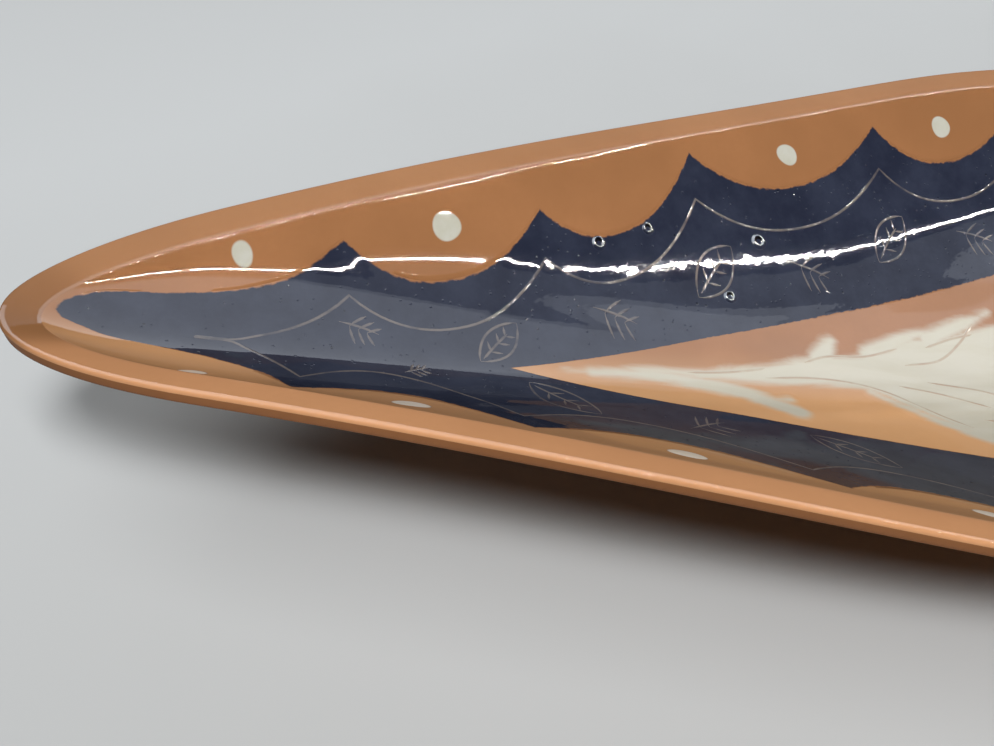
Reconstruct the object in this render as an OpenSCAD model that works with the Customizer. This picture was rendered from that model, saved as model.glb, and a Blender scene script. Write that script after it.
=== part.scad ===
// Boat-shaped slipware dish: a press-moulded clay shell on a low foot ring, with a scalloped
// band of dark slip, white slip dots and a poured white streak in its hollow.
// Frame: +X along the dish, +Z up, origin on the table under the middle of the dish.

/* [Dish] */
// Overall length, tip to tip
dish_length = 275; // [220:1:330]
// Overall width across the middle
dish_width = 100.5; // [88:0.5:115]
// Height of the rim at the two tips, above the table
tip_height = 39.3; // [34:0.1:46]
// How much lower the rim runs at the middle than at the tips
rim_dip = 7.7; // [0:0.1:9]
// Thickness of the clay wall at the rim
wall = 3.5; // [3:0.1:4.4]
// Thickness of the clay under the middle of the hollow
floor_thickness = 4.5; // [3.5:0.1:6]
// Space between the table and the lowest point of the shell
under_gap = 2.5; // [1:0.1:4]

/* [Plan shape] */
// Length of the rounded nose at each tip
nose_length = 20.5; // [15:0.5:26]
// Width that the rounded nose adds to the straight taper
nose_width = 15.4; // [13:0.2:20]
// Roundness exponent of the nose: 2 is an ellipse, more is blunter
nose_exponent = 2.3; // [2:0.1:3]
// Half the length over which each side bends at the middle
belly_length = 19; // [10:1:40]

/* [Section] */
// Exponent of the hollow's rise along the keel: 1 is a straight line, 2 a parabola
keel_exponent = 1.45; // [1.4:0.05:1.7]
// Exponent of the hollow's rise across the middle: 1 is a straight line, 2 a parabola
side_exponent = 2; // [1.8:0.05:2.4]
// Exponent of the rim's dip: more keeps the rim level for longer from the tips
dip_exponent = 3; // [2:0.5:4]
// Radius of the lip's outer edge
lip_outer_radius = 1.1; // [0.8:0.1:1.4]
// How much lower the inner edge of the lip lies than its crest
lip_drop = 1.4; // [1:0.1:1.8]
// Slant of the lip's crest toward the hollow, in degrees
lip_tilt = 22; // [10:1:30]

/* [Foot ring] */
// Height of the foot ring, from the table to its seat on the shell
foot_height = 7.2; // [6.5:0.1:8.5]
// Thickness of the foot ring's wall
foot_wall = 4.5; // [3:0.1:6]
// Clearance between the foot ring and the shoulder inside it
foot_clearance = 0.1; // [0.05:0.05:0.3]

/* [Slip decoration] */
// Thickness of the slip coats
slip_thickness = 0.5; // [0.3:0.05:0.8]
// Clearance between a slip coat and the moulded clay
slip_clearance = 0.12; // [0.08:0.01:0.2]
// Inset of the scallop's points from the inner edge of the rim
point_inset = 2.7; // [2.2:0.1:4]
// Inset of the scallop's hollows from the inner edge of the rim
scallop_inset = 8.5; // [7.7:0.1:10]
// Inset of the scallop's hollow beside each tip
tip_scallop_inset = 5.2; // [4.8:0.1:5.9]
// Inset of the scratched line's points from the inner edge of the rim
line_point_inset = 8.1; // [7.3:0.1:9]
// Inset of the scratched line's hollows from the inner edge of the rim
line_scallop_inset = 13.9; // [12:0.1:15]
// Inset of the scratched line's hollow beside each tip
tip_line_inset = 9.9; // [8.3:0.1:10.3]
// Width of the scratched line between the border and the field
line_width = 0.5; // [0.3:0.1:0.9]
// Distance of the dark slip from the inner edge of each tip
slip_tip_gap = 0.8; // [0.6:0.1:3]
// Distance of the scratched line from the inner edge of each tip
line_tip_gap = 13.3; // [10:0.1:18]
// Length of the bare diamond panel on the floor
panel_length = 174; // [120:1:190]
// Width of the bare diamond panel on the floor
panel_width = 44; // [30:1:48]

/* [Dots and streak] */
// Diameter of a white slip dot, measured on the sloping wall
dot_diameter = 4; // [2.8:0.1:4.6]
// Height of a white slip dot
dot_height = 0.6; // [0.4:0.05:0.9]
// Height of a white slip dot at its edge
dot_edge = 0.15; // [0.1:0.05:0.3]
// Inset of the dots' centres from the inner edge of the rim
dot_inset = 4; // [3.5:0.1:4.7]
// Diameter of the dots beside each tip
tip_dot_diameter = 2.6; // [2:0.1:3]
// Inset of the dots beside each tip
tip_dot_inset = 1.8; // [1.7:0.1:2.6]
// Distance of the poured white streak from the ends of the panel
streak_end_gap = 10; // [6:0.5:30]
// Width of the poured white streak at the middle
streak_width = 25; // [16:0.5:28]

/* [Hidden] */

half_length = dish_length / 2;
half_width = dish_width / 2;
under_z = under_gap;
floor_z = under_z + floor_thickness;
seat_z = foot_height;

// Rings and stations that the shell is lofted through
rim_stations = 72;
hollow_rings = 10;
under_rings = 5;
keel_rings = 2;
lip_steps = 4;
crest_steps = 4;
lobe_steps = 6;
band_steps = 2;
field_steps = 4;
streak_stations = 96;
streak_columns = 3;
dot_sides = 16;
dot_rings = 2;
search_steps = 22;

// Widths of the scallop's lobes on each side, from tip to tip; they stretch to fill the length
far_run = [29, 24.5, 23.3, 33.8, 26.6, 25.5, 27, 24, 24.6, 29];
near_run = [24, 22, 27.3, 25, 24, 23, 24, 25, 27.3, 22, 24];
// How far the points between the lobes stray from their inset, from tip to tip
far_wander = [0, 1.6, -1.1, -0.3, -0.2, -0.3, -1.1, 1.6, 0];
near_wander = [-0.5, -0.1, 0.6, 0, 0, 0, 0, 0.6, -0.1, -0.5];
// Lobe of the far side that carries no dot, counted from each tip
bare_far_lobe = 2;
// Place of the dot in the lobe beside a tip, as a share of the lobe from the tip
tip_dot_share = 0.62;
// Roundness of a lobe: 2 is a parabola, more is fuller
lobe_exponent = 2.2;
// Least half width of a coat where it runs out to a tip
thinnest = 0.3;

// Plan outlines: a rounded nose on a straight taper, with a soft bend at the middle
function bend(x) = sqrt(x * x + belly_length * belly_length);
taper = (half_width - nose_width / 2) / (bend(half_length) - belly_length);
function half_breadth(x, tip_x, nose_l, nose_half) =
    let (into_nose = max(0, min((tip_x - abs(x)) / nose_l, 1)))
    nose_half * pow(1 - pow(1 - into_nose, nose_exponent), 1 / nose_exponent)
        + taper * max(0, bend(tip_x) - bend(x));

function outer_edge(x) = half_breadth(x, half_length, nose_length, nose_width / 2);

inner_half_length = half_length - wall;
inner_nose_half = nose_width / 2 + taper * (bend(half_length) - bend(inner_half_length))
    - wall * sqrt(1 + taper * taper);
function inner_edge(x) = half_breadth(x, inner_half_length, nose_length - wall, inner_nose_half);

// A station is [share of the half length, side]; a loop runs from the left tip along +Y and back along -Y
function loop_stations(count) = concat(
    [for (i = [0:count]) [-cos(180 * i / count), 1]],
    [for (i = [1:count - 1]) [cos(180 * i / count), -1]]
);
function inner_point(station) =
    let (x = station[0] * inner_half_length)
    [x, station[1] * inner_edge(x)];
function outer_point(station) =
    let (x = station[0] * half_length)
    [x, station[1] * outer_edge(x)];

// Heights: the rim dips to the middle, and shell and hollow rise from the keel to the rim
function rim_height(share) = tip_height - rim_dip * pow(1 - share * share, dip_exponent);
function inner_rim_height(share) = rim_height(share) - lip_drop;
function rise_exponent(share) = keel_exponent + (side_exponent - keel_exponent) * (1 - share * share);
function hollow_z(share, r) =
    floor_z + (inner_rim_height(share) - floor_z) * pow(r, rise_exponent(share));
function under_surface_z(share, r) =
    under_z + (rim_height(share) - lip_outer_radius - under_z) * pow(r, rise_exponent(share));

// Height of the hollow over any point of the plan: the scaled outline through the point is found by halving
function inside_scaled(x, y, r) =
    abs(x) < r * inner_half_length && abs(y) < r * inner_edge(x / r);
function scale_at(x, y, low, high, steps) =
    steps == 0 ? high
    : let (middle = (low + high) / 2)
      inside_scaled(x, y, middle)
          ? scale_at(x, y, low, middle, steps - 1)
          : scale_at(x, y, middle, high, steps - 1);
function draped(x, y, lift) =
    let (r = scale_at(x, y, 0.001, 1, search_steps), share = min(1, abs(x) / (r * inner_half_length)))
    [x, y, hollow_z(share, r) + lift];

// Lofted skins: rings of equal length, closed round the loop
function ring_faces(ring_count, size, wrap) = [
    for (j = [0:ring_count - (wrap ? 1 : 2)], i = [0:size - 1])
    let (
        next_i = (i + 1) % size,
        next_j = (j + 1) % ring_count,
        a = j * size + i,
        b = j * size + next_i,
        c = next_j * size + next_i,
        d = next_j * size + i
    )
    each [[a, d, c], [a, c, b]]
];
function joined(lists) = [for (list = lists) each list];

module capped_loft(first, rings, last) {
    size = len(rings[0]);
    last_ring = (len(rings) - 1) * size;
    end = len(rings) * size;
    faces = concat(
        ring_faces(len(rings), size, false),
        [for (i = [0:size - 1]) [end, i, (i + 1) % size]],
        [for (i = [0:size - 1]) [end + 1, last_ring + (i + 1) % size, last_ring + i]]
    );
    polyhedron(concat(joined(rings), [first, last]), faces);
}

module closed_band(rings) {
    polyhedron(joined(rings), ring_faces(len(rings), len(rings[0]), true));
}

// Shell: hollow, lip, underside and the flat seat of the foot ring
shell_loop = loop_stations(rim_stations);
function at_scale(point, r, z) = [point[0] * r, point[1] * r, z];
function hollow_ring(r) = [
    for (s = shell_loop) at_scale(inner_point(s), r, hollow_z(s[0], r))
];

// Lip: the crest leaves the hollow along its wall and meets the rounded outer edge; places are [across, drop]
lip_start_pull = 0.3;
lip_end_pull = 0.7;
lip_top = [wall - lip_outer_radius * (1 + sin(lip_tilt)), lip_outer_radius * (1 - cos(lip_tilt))];
function wall_slope(station) =
    let (inner = inner_point(station), across = outer_point(station) - inner, share = station[0])
    atan((inner_rim_height(share) - floor_z) * rise_exponent(share) * norm(across) / (inner * across));
function crest_place(slope, t) =
    let (
        edge = [0, lip_drop],
        leaving = edge + lip_start_pull * [cos(slope), -sin(slope)],
        arriving = lip_top + lip_end_pull * [-cos(lip_tilt), sin(lip_tilt)]
    )
    pow(1 - t, 3) * edge + 3 * pow(1 - t, 2) * t * leaving
        + 3 * (1 - t) * t * t * arriving + t * t * t * lip_top;
function lip_point(station, place) =
    let (inner = inner_point(station), plan = inner + (outer_point(station) - inner) * place[0] / wall)
    [plan[0], plan[1], rim_height(station[0]) - place[1]];
function crest_ring(t) = [for (s = shell_loop) lip_point(s, crest_place(wall_slope(s), t))];
function outer_lip_ring(angle) =
    let (place = [wall - lip_outer_radius * (1 - cos(angle)), lip_outer_radius * (1 - sin(angle))])
    [for (s = shell_loop) lip_point(s, place)];

// The foot ring stands where the underside is level with its top
function seat_scale(share) =
    pow((seat_z - under_z) / (rim_height(share) - lip_outer_radius - under_z), 1 / rise_exponent(share));
function foot_inner_scale(station, inset) = seat_scale(station[0]) - inset / norm(outer_point(station));
function under_ring(part) = [
    for (s = shell_loop)
    let (r = 1 + (seat_scale(s[0]) - 1) * part)
    at_scale(outer_point(s), r, under_surface_z(s[0], r))
];
function keel_ring(part) = [
    for (s = shell_loop)
    let (r = foot_inner_scale(s, foot_wall + foot_clearance) * part)
    at_scale(outer_point(s), r, under_surface_z(s[0], r))
];
shoulder_ring = [
    for (s = shell_loop) at_scale(outer_point(s), foot_inner_scale(s, foot_wall + foot_clearance), seat_z)
];

module dish_body() {
    rings = concat(
        [for (j = [1:hollow_rings]) hollow_ring(j / hollow_rings)],
        [for (j = [1:crest_steps - 1]) crest_ring(j / crest_steps)],
        [for (j = [lip_steps:-1:0]) outer_lip_ring((90 + lip_tilt) * j / lip_steps)],
        [for (j = [1:under_rings]) under_ring(j / under_rings)],
        [shoulder_ring],
        [for (j = [keel_rings:-1:1]) keel_ring(j / keel_rings)]
    );
    color("peru") capped_loft([0, 0, floor_z], rings, [0, 0, under_z]);
}

// Foot ring: a coil of clay joined to the shell, ground flat where it stands
foot_loop = loop_stations(rim_stations / 2);
module foot_plan(inset) {
    polygon([
        for (s = foot_loop)
        let (place = at_scale(outer_point(s), foot_inner_scale(s, inset), 0))
        [place[0], place[1]]
    ]);
}
module foot_ring() {
    color("sienna") linear_extrude(height = foot_height) difference() {
        foot_plan(0);
        foot_plan(foot_wall);
    }
}

// Scallop: lobes in order along each side, from the left tip to the right one
function sum_to(list, count) = count == 0 ? 0 : list[count - 1] + sum_to(list, count - 1);
function lobe_end(run, k) = inner_half_length * (2 * sum_to(run, k) / sum_to(run, len(run)) - 1);

// Points of a scalloped line on one side, as plan places, with the two tips drawn in by tip_gap
function tip_drawn(run, k, tip_gap) =
    let (x = lobe_end(run, k))
    k == 0 ? x + tip_gap : k == len(run) ? x - tip_gap : x;
function lobe_depth(run, k, deep, tip_deep) = k == 0 || k == len(run) - 1 ? tip_deep : deep;
function line_inset(run, wander, k, t, tip_gap, high, deep, tip_deep) =
    let (
        at_tip = inner_edge(inner_half_length - tip_gap),
        start_inset = k == 0 ? at_tip : high + wander[k - 1],
        end_inset = k == len(run) - 1 ? at_tip : high + wander[k],
        straight = start_inset + (end_inset - start_inset) * t
    )
    straight + (lobe_depth(run, k, deep, tip_deep) - high) * (1 - pow(abs(2 * t - 1), lobe_exponent));
function side_line(run, wander, side, tip_gap, high, deep, tip_deep) = [
    for (k = [0:len(run) - 1], j = [0:lobe_steps - 1])
    let (
        t = j / lobe_steps,
        left = tip_drawn(run, k, tip_gap),
        x = left + (tip_drawn(run, k + 1, tip_gap) - left) * t,
        at_tip = k == 0 && j == 0,
        inset = line_inset(run, wander, k, t, tip_gap, high, deep, tip_deep),
        y = max(thinnest, inner_edge(x) - inset)
    )
    [x, at_tip ? 0 : side * y]
];
function scallop_line(tip_gap, high, deep, tip_deep) =
    let (
        far = side_line(far_run, far_wander, 1, tip_gap, high, deep, tip_deep),
        near = side_line(near_run, near_wander, -1, tip_gap, high, deep, tip_deep)
    )
    concat(far, [for (point = near) [-point[0], point[1]]]);

border_line = scallop_line(slip_tip_gap, point_inset, scallop_inset, tip_scallop_inset);
line_outside = scallop_line(line_tip_gap, line_point_inset, line_scallop_inset, tip_line_inset);
line_inside = [
    for (point = line_outside)
    point * (1 - line_width / half_width) - [sign(point[0]) * line_width, 0]
];
function panel_half(x) = panel_width / 2 * (1 - abs(x) / panel_length * 2);
line_end = line_inside[0][0];
panel_line = [
    for (point = line_inside)
    let (x = -panel_length / 2 * point[0] / line_end)
    [x, panel_half(x) * sign(point[1])]
];

// A slip coat between two lines of equal length, draped on the hollow
function between(from_line, to_line, part, lift) = [
    for (i = [0:len(from_line) - 1])
    let (place = from_line[i] + (to_line[i] - from_line[i]) * part)
    draped(place[0], place[1], lift)
];
module slip_coat(outer_line, inner_line, steps) {
    closed_band(concat(
        [for (j = [0:steps]) between(outer_line, inner_line, j / steps, slip_clearance)],
        [for (j = [steps:-1:0])
            between(outer_line, inner_line, j / steps, slip_clearance + slip_thickness)]
    ));
}

module scallop_border() {
    color("#333c4f") slip_coat(border_line, line_outside, band_steps);
}
module navy_field() {
    color("#3f4254") slip_coat(line_inside, panel_line, field_steps);
}

// Dots: one low dome of white slip in each lobe, round on the wall and draped on the hollow;
// the rim's direction is taken over a short step to each side
rim_step = 0.5;
function along_rim(x, side) =
    let (
        ahead = inner_edge(x + rim_step),
        behind = inner_edge(x - rim_step),
        way = [2 * rim_step, side * (ahead - behind)]
    )
    way / norm(way);
function dot_ring(middle, along, across, lift) = [
    for (i = [0:dot_sides - 1])
    let (angle = -360 * i / dot_sides, place = middle + cos(angle) * along + sin(angle) * across)
    draped(place[0], place[1], slip_clearance + lift)
];
module dome(middle, along, across) {
    rings = concat(
        [for (j = [1:dot_rings])
            let (part = j / dot_rings, lift = dot_edge + (dot_height - dot_edge) * (1 - part * part))
            dot_ring(middle, along * part, across * part, lift)],
        [dot_ring(middle, along, across, 0)]
    );
    capped_loft(
        draped(middle[0], middle[1], slip_clearance + dot_height),
        rings,
        draped(middle[0], middle[1], slip_clearance)
    );
}
module dot_row(run, side, bare) {
    for (k = [0:len(run) - 1])
        if (k != bare && k != len(run) - 1 - bare) {
            at_end = k == 0 || k == len(run) - 1;
            place = k == 0 ? tip_dot_share : at_end ? 1 - tip_dot_share : 0.5;
            x = lobe_end(run, k) + (lobe_end(run, k + 1) - lobe_end(run, k)) * place;
            inset = at_end ? tip_dot_inset : dot_inset;
            along = along_rim(x, side) * (at_end ? tip_dot_diameter : dot_diameter) / 2;
            squash = at_end ? 1 : cos(wall_slope([x / inner_half_length, side]));
            dome([x, side * (inner_edge(x) - inset)], along, [-along[1], along[0]] * squash);
        }
}
module slip_dots() {
    color("antiquewhite") {
        dot_row(far_run, 1, bare_far_lobe);
        dot_row(near_run, -1, -1);
    }
}

// Poured streak: a tongue of white slip along the keel, with fingers and a barb, the same from both ends;
// its two edges from the left end to the middle are shares of half its length and half its width
streak_far_edge = [
    [-1, 0.06], [-0.91, 0.16], [-0.82, 0.19], [-0.69, 0.29], [-0.6, 0.42], [-0.55, 0.56], [-0.52, 0.6],
    [-0.49, 0.48], [-0.4, 0.63], [-0.36, 0.74], [-0.29, 0.88], [-0.25, 0.84], [-0.16, 1.06], [-0.13, 0.97],
    [0, 1]
];
streak_near_edge = [
    [-1, 0.02], [-0.89, 0.03], [-0.8, -0.1], [-0.73, -0.24], [-0.67, -0.42], [-0.65, -0.38], [-0.63, 0],
    [-0.53, 0.05], [-0.48, -0.05], [-0.43, -0.33], [-0.38, -0.6], [-0.34, -0.8], [-0.26, -0.93], [0, -1]
];
streak_half_length = panel_length / 2 - streak_end_gap;
function streak_far(share) = share > 0 ? -lookup(-share, streak_near_edge) : lookup(share, streak_far_edge);
function streak_section(share) =
    let (
        x = share * streak_half_length,
        far = streak_far(share) * streak_width / 2,
        near = -streak_far(-share) * streak_width / 2,
        top = slip_clearance + slip_thickness
    )
    concat(
        [for (j = [0:streak_columns]) draped(x, near + (far - near) * j / streak_columns, top)],
        [for (j = [streak_columns:-1:0]) draped(x, near + (far - near) * j / streak_columns, slip_clearance)]
    );
module white_streak() {
    sections = [
        for (i = [1:streak_stations - 1]) streak_section(2 * i / streak_stations - 1)
    ];
    end_y = streak_far(-1) * streak_width / 2;
    color("ivory") capped_loft(
        draped(-streak_half_length, end_y, slip_clearance),
        sections,
        draped(streak_half_length, -end_y, slip_clearance)
    );
}

dish_body();
foot_ring();
scallop_border();
navy_field();
slip_dots();
white_streak();
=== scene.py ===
import math

import bmesh
import bpy
import numpy as np
from mathutils import Matrix, Vector


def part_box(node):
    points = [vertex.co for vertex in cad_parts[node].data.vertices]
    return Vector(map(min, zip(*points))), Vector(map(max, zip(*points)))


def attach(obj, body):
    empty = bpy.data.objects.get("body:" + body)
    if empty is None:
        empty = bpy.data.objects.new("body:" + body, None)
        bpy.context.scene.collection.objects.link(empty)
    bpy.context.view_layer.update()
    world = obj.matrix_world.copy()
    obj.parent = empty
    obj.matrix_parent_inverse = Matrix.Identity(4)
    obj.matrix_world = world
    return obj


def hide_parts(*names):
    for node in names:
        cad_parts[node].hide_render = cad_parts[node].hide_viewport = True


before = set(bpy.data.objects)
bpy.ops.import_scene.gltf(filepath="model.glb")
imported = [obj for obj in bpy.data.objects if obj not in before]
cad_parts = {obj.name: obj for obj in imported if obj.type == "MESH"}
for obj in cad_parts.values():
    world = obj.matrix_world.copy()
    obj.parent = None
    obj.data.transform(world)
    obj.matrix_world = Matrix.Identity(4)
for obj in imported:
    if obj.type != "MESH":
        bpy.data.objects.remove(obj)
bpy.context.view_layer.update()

# Driving values of the dish, in millimetres, as in the part's source
MM = 0.001
dish_low, dish_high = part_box("dish_body")
foot_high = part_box("foot_ring")[1]
HALF_LENGTH = dish_high.x / MM
HALF_WIDTH = dish_high.y / MM
TIP_HEIGHT = dish_high.z / MM
UNDER_Z = dish_low.z / MM
SEAT_Z = foot_high.z / MM
RIM_DIP = 7.7
DIP_EXPONENT = 3.0
WALL = 3.5
FLOOR_THICKNESS = 4.5
FLOOR_Z = UNDER_Z + FLOOR_THICKNESS
NOSE_LENGTH = 20.5
NOSE_WIDTH = 15.4
NOSE_EXPONENT = 2.3
BELLY_LENGTH = 19.0
KEEL_EXPONENT = 1.45
SIDE_EXPONENT = 2.0
LIP_OUTER = 1.1
LIP_CORNER, LIP_FACE = 0.4, 1.5
LIP_DROP = 1.4
LIP_TILT = math.radians(22)
LIP_START_PULL, LIP_END_PULL = 0.45, 0.7
FOOT_WALL = 4.5
FOOT_SOFT = 0.9
FOOT_CLEARANCE = 0.1
FAR_RUN = [29, 24.5, 23.3, 33.8, 26.6, 25.5, 27, 24, 24.6, 29]
NEAR_RUN = [24, 22, 27.3, 25, 24, 23, 24, 25, 27.3, 22, 24]
FAR_WANDER = [0, 1.6, -1.1, -0.3, -0.2, -0.3, -1.1, 1.6, 0]
NEAR_WANDER = [-0.5, -0.1, 0.6, 0, 0, 0, 0, 0.6, -0.1, -0.5]
BARE_FAR_LOBE = 2
LOBE_EXPONENT = 2.2
POINT_INSET, SCALLOP_INSET = 2.7, 8.5
LINE_POINT_INSET, LINE_SCALLOP_INSET, TIP_LINE_INSET = 8.1, 13.9, 9.9
SLIP_TIP_GAP, LINE_TIP_GAP = 0.6, 13.3
PANEL_LENGTH, PANEL_WIDTH = 174.0, 44.0
DOT_DIAMETER, DOT_INSET = 4.0, 4.0
DOT_SKIRT, DOT_EDGE, DOT_HEIGHT, DOT_SUNK = 1.1, 0.86, 0.1, 0.03
TIP_DOT_DIAMETER, TIP_DOT_INSET, TIP_DOT_SHARE = 2.6, 1.8, 0.62
THINNEST = 0.3

# Edge of the navy in the lobe beside a tip, on the far and on the near side: distance from the tip
# of the hollow, and distance from the keel
FAR_TIP_EDGE = [(0.6, 1.0), (0.9, 1.9), (1.4, 2.5), (2.9, 3.4), (5.1, 4.3), (10.5, 5.2),
                (15.6, 6.1), (18.9, 7.0), (22.2, 8.2), (25.0, 9.7), (26.6, 10.9), (29.1, 12.8)]
NEAR_TIP_EDGE = [(0.6, -1.0), (1.0, -0.5), (1.6, 0.0), (3.4, 0.7), (5.4, 1.5), (9.3, 2.2),
                 (12.3, 2.8), (15.3, 3.6), (19.5, 5.4), (22.0, 7.6), (24.1, 11.3)]

# Towards the tips the wall is steeper under the rim: by how much, between which shares of the half
# length, and how far down the wall
TIP_STEEPER, TIP_STEEPER_SPAN = 0.25, (0.6, 0.98)
NOSE_STEEPER, NOSE_STEEPER_SPAN = 0.6, (0.85, 1.02)
STEEP_REACH, STEEP_REACH_LOSS, STEEP_REACH_SPAN = 0.1, 0.07, (0.82, 1)
STEEP_FADE = 6

# The wall swells a little about a line half way up it: the line's place in the middle and its rise
# towards the tips, then the swell in the middle and the one before the tips
SWELL_LINE, SWELL_LINE_RISE, SWELL_LINE_EXPONENT = 0.65, 0.35, 3
MIDDLE_SWELL, MIDDLE_SWELL_LENGTH, MIDDLE_SWELL_WIDTH, MIDDLE_SWELL_ROOM = 0.08, 0.33, 0.2, 0.36
TIP_SWELL, TIP_SWELL_PLACE, TIP_SWELL_LENGTH, TIP_SWELL_WIDTH = 0.025, 0.86, 0.08, 0.07
SWELL_START_SPAN, SWELL_END_SPAN = (0.05, 0.45), (0, 0.06)

# The slip is laid in the clay's skin: its crown over the skin and how far in from its edge it gets
# there, its root, the beds cut for it, the tops of the thin lines on it, and a distance that stands
# for any place well inside an edge
COAT_CROWN, CROWN_REACH = 0.008, 1.2
COAT_ROOT = -0.2
COAT_BED = -0.25
STREAK_BED, STREAK_BED_SPAN = 0.4 * COAT_BED, (0.15, 0.35)
LINE_TOP = 0.02
VEIN_TOP = 0.055
FAR_INSIDE = 9.0

# Painted light and shade, from 0 (darker, shaded) to 1 (lighter, lit), on the panel, the near wall,
# the lip and the underside, and the distances across the dish, or shares of its half length, over
# which that changes
PANEL_PALE_SPAN = (-6, 8)
NEAR_PALE, NEAR_PALE_SPAN = 0.67, (-2, 4)
LIP_PALE, LIP_PALE_SPAN, TIP_PALE_SPAN = 0.25, (-6, 14), (0.955, 1)
UNDER_PALE = 0.3

# Rings of the lip, from the hollow on, that keep the glossy glaze
GLOSSY_LIP = 3

# Fineness of the meshes and of the search for the hollow's surface
PANEL_RINGS, BAND_RINGS, WALL_RINGS = 14, 12, 14
CREST_RINGS, CORNER_RINGS, FACE_RINGS = 16, 12, 4
UNDER_RINGS = 24
UNDER_PARTS = (1, 0.75, 0.5, 0.25)
ROOT_PARTS = (1, 0.66, 0.33, 0)
LOBE_STEPS, LOBE_CROWDING = 44, 1.8
PIT_SIDES, DOT_SIDES, DOT_RINGS = 24, 36, 8
HALVINGS, SMALLEST_SCALE = 26, 0.001


def smooth_path(points, count):
    """Points along a curve through the given ones."""
    points = np.asarray(points, float)
    padded = np.vstack([2 * points[0] - points[1], points, 2 * points[-1] - points[-2]])
    t = np.linspace(0, len(points) - 1 - 1e-9, count)
    k = t.astype(int)
    f = (t - k)[:, None]
    a, b, c, d = (padded[k + i] for i in range(4))
    return 0.5 * (2 * b + (c - a) * f + (2 * a - 5 * b + 4 * c - d) * f ** 2
                  + (3 * b - a - 3 * c + d) * f ** 3)


def curve_value(points, x):
    """Height at x of the curve through the given points."""
    return np.interp(x, *np.transpose(smooth_path(points, 40 * len(points))))


def bend(x):
    return np.hypot(x, BELLY_LENGTH)


TAPER = (HALF_WIDTH - NOSE_WIDTH / 2) / (bend(HALF_LENGTH) - BELLY_LENGTH)
INNER_HALF_LENGTH = HALF_LENGTH - WALL
INNER_NOSE_HALF = (NOSE_WIDTH / 2 + TAPER * (bend(HALF_LENGTH) - bend(INNER_HALF_LENGTH))
                   - WALL * math.hypot(1, TAPER))


def half_breadth(x, tip_x, nose_length, nose_half):
    into_nose = np.clip((tip_x - np.abs(x)) / nose_length, 0, 1)
    taper_part = TAPER * np.maximum(0, bend(tip_x) - bend(x))
    nose_part = (1 - (1 - into_nose) ** NOSE_EXPONENT) ** (1 / NOSE_EXPONENT)
    return nose_half * nose_part + taper_part


def outer_edge(x):
    return half_breadth(x, HALF_LENGTH, NOSE_LENGTH, NOSE_WIDTH / 2)


def inner_edge(x):
    return half_breadth(x, INNER_HALF_LENGTH, NOSE_LENGTH - WALL, INNER_NOSE_HALF)


def rim_height(share):
    return TIP_HEIGHT - RIM_DIP * np.maximum(0, 1 - share ** 2) ** DIP_EXPONENT


def rise_exponent(share):
    return KEEL_EXPONENT + (SIDE_EXPONENT - KEEL_EXPONENT) * (1 - share ** 2)


def hollow_rise(share):
    return rim_height(share) - LIP_DROP - FLOOR_Z


def ease(x, start, end):
    """0 before start and 1 after end, with a smooth rise between."""
    t = np.clip((x - start) / (end - start), 0, 1)
    return t ** 3 * (10 - 15 * t + 6 * t * t)


def tip_steepness(share):
    """By how much the wall is steeper under the rim towards the tips."""
    share = np.abs(share)
    return (TIP_STEEPER * ease(share, *TIP_STEEPER_SPAN)
            + NOSE_STEEPER * ease(share, *NOSE_STEEPER_SPAN))


def tip_deepening(share, r):
    """How much deeper the hollow lies for its steeper wall near the tips."""
    reach = STEEP_REACH - STEEP_REACH_LOSS * ease(np.abs(share), *STEEP_REACH_SPAN)
    steeper = tip_steepness(share) * hollow_rise(share) * rise_exponent(share)
    return steeper * reach * (1 - np.exp((r - 1) / reach)) * r ** STEEP_FADE


def hollow_swell(share, r):
    """Slight hand-made swell half way up the wall, in the middle and before the tips."""
    past = r - SWELL_LINE - SWELL_LINE_RISE * np.abs(share) ** SWELL_LINE_EXPONENT
    middle = -past * np.exp(-(past / MIDDLE_SWELL_WIDTH) ** 2 / 2) * (1 - r) / MIDDLE_SWELL_ROOM
    before_tip = (TIP_SWELL_WIDTH * (1 - np.tanh(past / TIP_SWELL_WIDTH))
                  * ease(r, *SWELL_START_SPAN) * ease(1 - r, *SWELL_END_SPAN))
    from_place = np.abs(share) - TIP_SWELL_PLACE
    swell = (MIDDLE_SWELL * np.exp(-(share / MIDDLE_SWELL_LENGTH) ** 2) * middle
             + TIP_SWELL * np.exp(-(from_place / TIP_SWELL_LENGTH) ** 2) * before_tip)
    return swell * hollow_rise(share) * rise_exponent(share)


def hollow_z(share, r):
    rise = hollow_rise(share) * r ** rise_exponent(share)
    return FLOOR_Z + rise - tip_deepening(share, r) + hollow_swell(share, r)


def under_surface_z(share, r):
    rise = rim_height(share) - LIP_FACE - UNDER_Z
    return UNDER_Z + rise * r ** rise_exponent(share) - tip_deepening(share, r)


def draped(plan, lift):
    """Points of the hollow's surface over plan places, raised by lift."""
    x, y = plan[:, 0], plan[:, 1]
    low, high = np.full(len(x), SMALLEST_SCALE), np.ones(len(x))
    for _ in range(HALVINGS):
        r = (low + high) / 2
        inside = (np.abs(x) < r * INNER_HALF_LENGTH) & (np.abs(y) < r * inner_edge(x / r))
        high = np.where(inside, r, high)
        low = np.where(inside, low, r)
    share = np.minimum(1, np.abs(x) / (high * INNER_HALF_LENGTH))
    return np.column_stack([x, y, hollow_z(share, high) + lift])


# Mesh helpers
def ring_faces(ring_count, size, wrap):
    faces = []
    for j in range(ring_count if wrap else ring_count - 1):
        for i in range(size):
            a, b = j * size, ((j + 1) % ring_count) * size
            k = (i + 1) % size
            faces.append((a + i, b + i, b + k, a + k))
    return faces


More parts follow.
